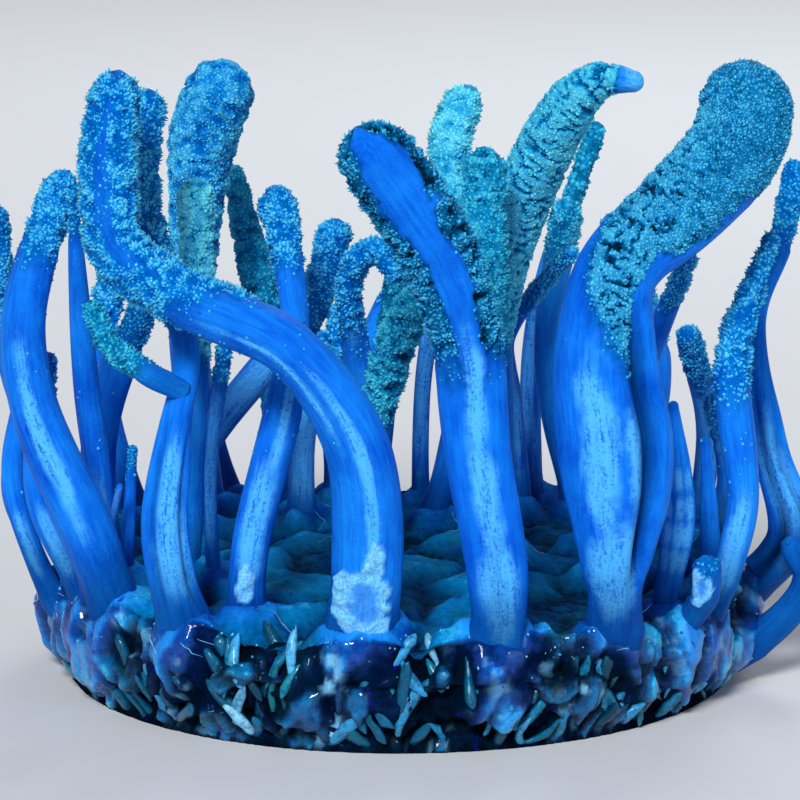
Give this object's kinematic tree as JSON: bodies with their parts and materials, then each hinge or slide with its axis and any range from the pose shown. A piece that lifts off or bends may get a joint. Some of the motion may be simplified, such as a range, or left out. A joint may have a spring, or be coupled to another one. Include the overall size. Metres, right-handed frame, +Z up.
{
  "type": "cordyceps bunch",
  "caption": "Dense bunch of tall, bending fruiting clubs with spiky rounded heads, growing out of a round cake of grain bound by mycelium.",
  "frame": {"origin": "middle of the cake's flat underside", "axes": "+Z up along the clubs, -Y towards the front of the bunch"},
  "size_m": [0.0829, 0.08, 0.0634],
  "materials": {
    "cake": "damp, half translucent mycelium with pale grains",
    "blue_club": "damp satin flesh, smooth below and spiky at the head",
    "teal_club": "matte, covered in small conical papillae",
    "pale_club": "satin, whitish blue"
  },
  "bodies": {
    "root": {"grain_cake": "cake", "sweeping_club": "blue_club", "spoon_club": "blue_club", "giant_club": "blue_club", "forked_club": "blue_club", "round_headed_club": "blue_club", "left_outer_club": "blue_club", "right_tall_club": "blue_club", "twin_club": "teal_club", "ridged_club": "teal_club", "tall_back_club": "teal_club", "mottled_club": "teal_club", "leaning_club": "blue_club", "curled_club": "blue_club", "fuzzy_club": "teal_club", "slender_club": "blue_club", "folded_club": "blue_club", "rim_curl": "blue_club", "round_bud": "pale_club", "back_bent_club": "blue_club", "left_slim_club": "blue_club", "left_leaf_club": "blue_club", "far_left_club": "blue_club", "left_rim_club": "blue_club", "left_foot_club": "blue_club", "left_edge_club": "blue_club", "cream_pin": "pale_club", "small_left_club": "blue_club", "small_bud_club": "blue_club", "far_back_club": "teal_club", "thin_club": "blue_club", "sliver_club": "teal_club", "left_inner_club": "blue_club", "stubby_club": "teal_club", "back_tip_club": "teal_club", "slender_twin_club": "blue_club", "slender_third_club": "blue_club", "side_leaf_club": "blue_club", "arched_back_club": "blue_club", "hidden_right_club": "blue_club", "leaf_bud": "blue_club", "right_inner_club": "blue_club", "right_middle_club": "blue_club", "right_short_club": "blue_club", "back_left_club": "blue_club", "back_right_club": "blue_club", "back_rim_club": "blue_club", "back_low_club": "blue_club", "back_inner_club": "blue_club", "back_middle_club": "blue_club", "back_short_club": "blue_club", "forked_club_branch": "teal_club", "twin_club_branch": "teal_club"}
  },
  "joints": []
}
